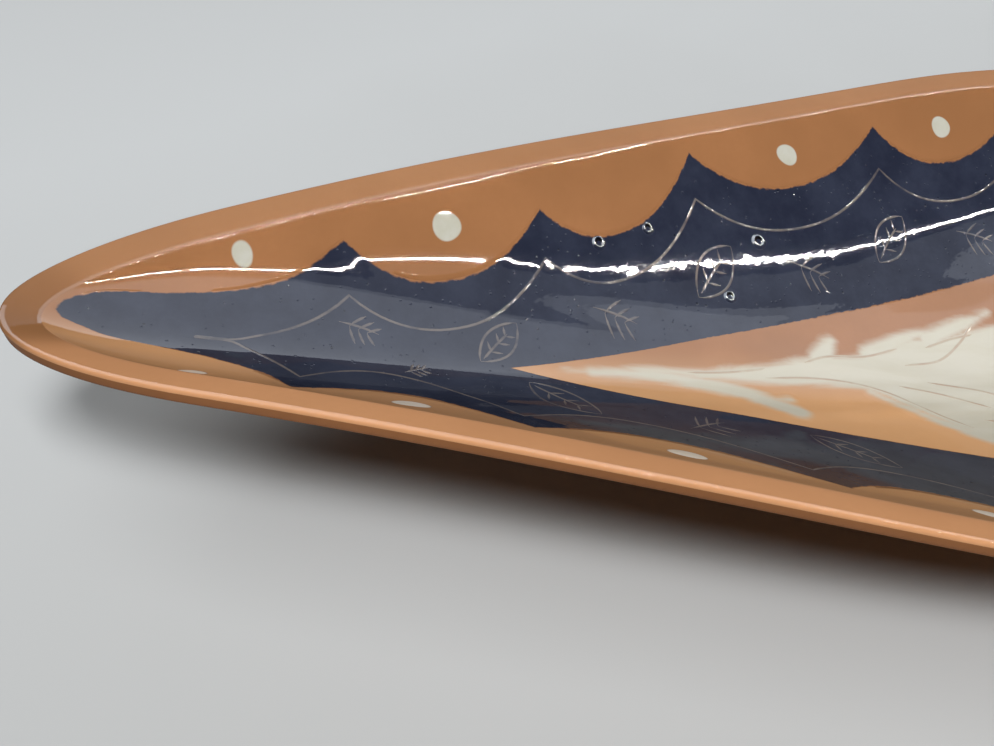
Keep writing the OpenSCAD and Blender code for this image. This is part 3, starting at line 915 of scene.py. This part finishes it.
def build_streak():
    xs, ys = (np.arange(-reach, reach + STREAK_STEP / 2, STREAK_STEP) for reach in STREAK_GRID)
    plan = np.array([(x, y) for x in xs for y in ys])
    cover = streak_cover(plan)
    inside = cover > -STREAK_SKIRT
    inside &= np.abs(plan[:, 1]) < panel_half(plan[:, 0]) - STREAK_MARGIN
    grid = inside.reshape(len(xs), len(ys))
    cells = grid[:-1, :-1] & grid[1:, :-1] & grid[1:, 1:] & grid[:-1, 1:]
    corners = np.argwhere(cells) @ [len(ys), 1]
    tops = [(k, k + len(ys), k + len(ys) + 1, k + 1) for k in corners]
    used = np.unique(np.array(tops))
    number = {int(old): new for new, old in enumerate(used)}
    tops = [tuple(number[int(i)] for i in face) for face in tops]
    count = len(used)
    edges = [edge for face in tops for edge in zip(face, face[1:] + face[:1])]
    known = set(edges)
    rim = [(a, b) for a, b in edges if (b, a) not in known]
    faces = tops + [tuple(i + count for i in face[::-1]) for face in tops]
    faces += [(b, a, a + count, b + count) for a, b in rim]
    rise = np.clip((cover[used] + STREAK_EDGE) / STREAK_SLOPE, 0, 1)
    lift = STREAK_CROWN * rise - STREAK_SUNK
    points = np.vstack([draped(plan[used], lift), draped(plan[used], COAT_ROOT)])
    make_piece("poured_streak", points, faces, marbled, "white_streak",
               {"cover_mm": np.tile(cover[used], 2), "pale": panel_painted_light(points[:, 1])})


# Thin lines: ribbons draped over the slip, which taper at their ends and drop at their edges
RIBBON_TAPER, RIBBON_END = 3, 0.25
RIBBON_DROP = 0.016
LINE_HALF, VEIN_HALF = 0.2, 0.22
VEIN_STEPS = 40


def ribbon(path, half, lift, closed=False):
    along = np.gradient(path, axis=0)
    if closed:
        along = np.roll(path, -1, axis=0) - np.roll(path, 1, axis=0)
    along /= np.linalg.norm(along, axis=1)[:, None]
    across = np.column_stack([-along[:, 1], along[:, 0]])
    ends = np.ones(len(path))
    if not closed:
        steps = np.arange(len(path))
        ends = np.clip(np.minimum(steps, steps[::-1]) / RIBBON_TAPER, RIBBON_END, 1)
    layers, line = [], []
    for part, level in ((-1, lift - RIBBON_DROP), (-0.45, lift), (0.45, lift),
                        (1, lift - RIBBON_DROP), (0.6, COAT_ROOT), (-0.6, COAT_ROOT)):
        layers.append(draped(path + across * (half * part * ends)[:, None], level))
        line.append(np.full(len(path), 0.0 if abs(part) == 1 else 1.0))
    rows = len(path)
    points = np.stack(layers, axis=1).reshape(-1, 3)
    size = len(layers)
    faces = ring_faces(rows, size, closed)
    if not closed:
        last = (rows - 1) * size
        faces += [tuple(range(size)), tuple(range(last + size - 1, last - 1, -1))]
    return (points, faces), np.stack(line, axis=1).reshape(-1)


def lines_piece(name, paths, half, lift, material):
    ribbons = [ribbon(path, half, lift, closed) for path, closed in paths]
    points, faces = merged([shape for shape, _ in ribbons])
    values = {"line": np.concatenate([line for _, line in ribbons])}
    make_piece(name, points, faces, material, values=values)


def turned(points, angle, place):
    c, s = math.cos(angle), math.sin(angle)
    return np.asarray(points) @ np.array([[c, s], [-s, c]]) + place


def leaf(place, length, width, angle):
    t = np.linspace(0, 1, 26)
    upper = np.column_stack([length * (t - 0.5), width / 2 * np.sin(np.pi * t) ** 0.8])
    spine = np.column_stack([length * (0.66 * t - 0.42), 0.15 * np.sin(3 * t)])
    paths = [upper, upper * [1, -1], spine]
    for start in (-0.22, 0.0, 0.18):
        rib = np.column_stack([length * (start + 0.12 * t[::3]),
                               width * 0.3 * t[::3] * (1 - 0.5 * start)])
        paths += [rib, rib * [1, -1]]
    return [turned(path, angle, place) for path in paths]


def sprig(place, size, angle):
    t = np.linspace(0, 1, 12)
    paths = [np.column_stack([size * (1.1 * t - 0.6), 0.12 * size * np.sin(2 * t)])]
    for start, lean in ((-0.3, 0.5), (-0.05, 0.42), (0.2, 0.32)):
        twig = np.column_stack([size * (start + 0.32 * t), size * lean * t ** 0.8])
        paths += [twig, twig * [1, -1]]
    return [turned(path, angle, place) for path in paths]


# Leaves and sprigs along the band: how far out from the middle, how far apart, how much the near
# ones are set over, and the least room for one
MOTIF_REACH, MOTIF_STEP, MOTIF_SHIFT, MOTIF_ROOM = 104, 16, 6, 4
ECHO_CLOSING_SPAN = (-0.3, 1.2)


def scratched_paths():
    closing = ease(np.abs(echo_line[:, 1]), *ECHO_CLOSING_SPAN)
    echo = echo_line * np.column_stack([np.ones(len(echo_line)), closing])
    paths = [(echo[::2], True)]
    for side in (1, -1):
        edge = echo_line[np.sign(echo_line[:, 1]) == side]
        edge = edge[np.argsort(edge[:, 0])]
        for n, place in enumerate(np.arange(-MOTIF_REACH, MOTIF_REACH + 1, MOTIF_STEP)):
            x = place + (0 if side > 0 else MOTIF_SHIFT)
            top = abs(np.interp(x, edge[:, 0], edge[:, 1]))
            low = max(0.0, panel_half(x))
            room = top - low
            if room < MOTIF_ROOM:
                continue
            middle = np.array([x, side * (low + room * 0.5)])
            lean = math.atan2(-side * math.copysign(TAPER, x), 1)
            if n % 2:
                motif = leaf(middle, min(10.0, room * 1.1), min(4.6, room * 0.5), lean + 0.5 * side)
            else:
                motif = sprig(middle, min(5.5, room * 0.6), lean - 0.7 * side)
            paths += [(path, False) for path in motif]
    return paths


def build_veins():
    paths = [(smooth_path(path, VEIN_STEPS), False)
             for vein in VEINS for path in from_both_ends(vein)]
    lines_piece("slip_veins", paths, VEIN_HALF, VEIN_TOP, veined)


build_shell()
build_foot()
slip_coat("border_coat", border_line, echo_line, EDGE_PARTS, "scallop_border", True, False)
slip_coat("field_coat", echo_line, panel_line, FIELD_PARTS, "navy_field", False, True)
build_dots()
build_streak()
lines_piece("scratched_lines", scratched_paths(), LINE_HALF, LINE_TOP, scratched)
build_veins()
build_pits()

# Stage: a pale floor, painted a little darker towards the front and the right as shade
FLOOR_SIZE = 6
FLOOR_SKEW, FLOOR_SPAN = 0.37, (-0.07, 0.18)
SHADED_FLOOR_FRONT, LIT_FLOOR_BACK = (0.495, 0.51, 0.517), (0.645, 0.675, 0.70)
floor_nodes = Nodes("pale_floor")
floor_axes = floor_nodes.add("ShaderNodeSeparateXYZ")
floor_nodes.link(floor_nodes.place, floor_axes.inputs["Vector"])
skewed = floor_nodes.math("MULTIPLY", floor_axes.outputs["X"], FLOOR_SKEW)
back = floor_nodes.math("SUBTRACT", floor_axes.outputs["Y"], skewed)
clouds = floor_nodes.ramp(floor_nodes.noise(6, 3), 0.3, 0.7, -0.02, 0.02)
# Painted shade: the floor darkens towards the front and the right.
painted_falloff = floor_nodes.ramp(floor_nodes.math("ADD", back, clouds), *FLOOR_SPAN, smooth=False)
floor_nodes.link(floor_nodes.mix(painted_falloff, SHADED_FLOOR_FRONT, LIT_FLOOR_BACK),
                 floor_nodes.shader.inputs["Base Color"])
floor_nodes.shader.inputs["Roughness"].default_value = 0.8
floor_nodes.shader.inputs["Specular IOR Level"].default_value = 0.0
bpy.ops.mesh.primitive_plane_add(size=FLOOR_SIZE)
floor = bpy.context.object
floor.name = "floor"
floor.data.materials.append(floor_nodes.material)

# Lights: a thin strip and the pale ceiling beside it, seen in the glaze, and two soft lamps
LIGHT_HEIGHT = 1.0
LIGHT_HEADING = math.radians(25)
STRIP_MIDDLE, STRIP_SIZE = Vector((0.76, -0.16, LIGHT_HEIGHT)), (2.2, 0.004)
STRIP_RADIANCE = 2200
HAZE_RADIANCE = 9.6
HAZE_START, HAZE_REACH = -1.6, 3.0
HAZE_EDGES = (0.03, 0.11, 0.14)
HAZE_BANDS = (0.9, 1.05, 1.25, 1.5, 1.8, 2.3, 3.0)
OVERHEAD_PLACE, OVERHEAD_SIZE, OVERHEAD_RADIANCE = Vector((-0.37, -0.60, 2.4)), (1.7, 1.7), 2.58
KEY_PLACE, KEY_SIZE, KEY_RADIANCE = Vector((0.83, -1.58, 2.25)), (0.5, 0.5), 90
DISH_END = Vector((-0.08, 0, 0))
WARM_WHITE = (1.0, 0.97, 0.93)
SOFT_WHITE = (1.0, 0.99, 0.97)
COOL_WHITE = (0.87, 0.92, 1.0)


def area_light(name, middle, aim, size, radiance, colour, seen):
    """A panel aimed at a place, or straight down; seen names what it lights, diffuse or glossy."""
    lamp = bpy.data.lights.new(name, "AREA")
    lamp.shape = "RECTANGLE"
    lamp.size, lamp.size_y = size
    lamp.energy = radiance * math.pi * size[0] * size[1]
    lamp.color = colour
    holder = bpy.data.objects.new(name, lamp)
    bpy.context.scene.collection.objects.link(holder)
    holder.location = middle
    if aim is None:
        holder.rotation_euler = (0, 0, LIGHT_HEADING)
    else:
        holder.rotation_euler = (aim - middle).to_track_quat("-Z", "Y").to_euler()
    holder.visible_diffuse = seen == "diffuse"
    holder.visible_glossy = seen == "glossy"


strip_along = Vector((math.cos(LIGHT_HEADING), math.sin(LIGHT_HEADING), 0))
strip_across = Vector((-math.sin(LIGHT_HEADING), math.cos(LIGHT_HEADING), 0))


def haze_panel(name, along, across, part):
    """A pale part of the ceiling, given by its reach along the strip and across from it."""
    middle = STRIP_MIDDLE + strip_along * sum(along) / 2 + strip_across * sum(across) / 2
    size = along[1] - along[0], across[1] - across[0]
    area_light(name, middle, None, size, HAZE_RADIANCE * part, COOL_WHITE, "glossy")


area_light("strip", STRIP_MIDDLE, None, STRIP_SIZE, STRIP_RADIANCE, WARM_WHITE, "glossy")
haze_along = HAZE_START, HAZE_BANDS[0]
haze_panel("haze_edge", haze_along, HAZE_EDGES[:2], 1 / 4)
haze_panel("haze_soft", haze_along, HAZE_EDGES[1:], 2 / 3)
haze_panel("haze", haze_along, (HAZE_EDGES[2], HAZE_REACH), 1)
for number, band in enumerate(zip(HAZE_BANDS, HAZE_BANDS[1:]), 1):
    part = 1 - number / len(HAZE_BANDS)
    haze_panel("haze_band_%d" % number, band, (HAZE_EDGES[0], HAZE_REACH), part)
area_light("overhead", OVERHEAD_PLACE, DISH_END, OVERHEAD_SIZE, OVERHEAD_RADIANCE, SOFT_WHITE,
           "diffuse")
area_light("key", KEY_PLACE, DISH_END, KEY_SIZE, KEY_RADIANCE, SOFT_WHITE, "diffuse")

ROOM_COLOUR, ROOM_STRENGTH = (0.92, 0.96, 1.0), 0.015
world = bpy.data.worlds.new("room")
world.use_nodes = True
room = world.node_tree.nodes["Background"]
room.inputs["Color"].default_value = (*ROOM_COLOUR, 1)
room.inputs["Strength"].default_value = ROOM_STRENGTH
bpy.context.scene.world = world
bpy.context.scene.view_settings.view_transform = "Standard"

# Camera: place from the left tip of the rim, and its heading, pitch and roll
CAMERA_FROM_TIP = Vector((39.43, -64.47, 48.71)) * MM
HEADING, PITCH, ROLL = math.radians(8.22), math.radians(45), math.radians(-0.18)
FOCAL_PIXELS, IMAGE_WIDTH, SENSOR_WIDTH = 780, 994, 36
right = Vector((math.cos(HEADING), -math.sin(HEADING), 0))
level = Vector((math.sin(HEADING), math.cos(HEADING), 0))
forward = level * math.cos(PITCH) - Vector((0, 0, math.sin(PITCH)))
up = right.cross(forward)
camera_data = bpy.data.cameras.new("camera")
camera_data.sensor_width = SENSOR_WIDTH
camera_data.lens = FOCAL_PIXELS / IMAGE_WIDTH * SENSOR_WIDTH
camera_data.clip_start = 0.005
camera = bpy.data.objects.new("camera", camera_data)
bpy.context.scene.collection.objects.link(camera)
rolled_right = right * math.cos(ROLL) + up * math.sin(ROLL)
rolled_up = up * math.cos(ROLL) - right * math.sin(ROLL)
turn_matrix = Matrix((rolled_right, rolled_up, -forward)).transposed().to_4x4()
tip = Vector((dish_low.x, 0, dish_high.z))
camera.matrix_world = Matrix.Translation(tip + CAMERA_FROM_TIP) @ turn_matrix
bpy.context.scene.camera = camera

bpy.context.view_layer.update()
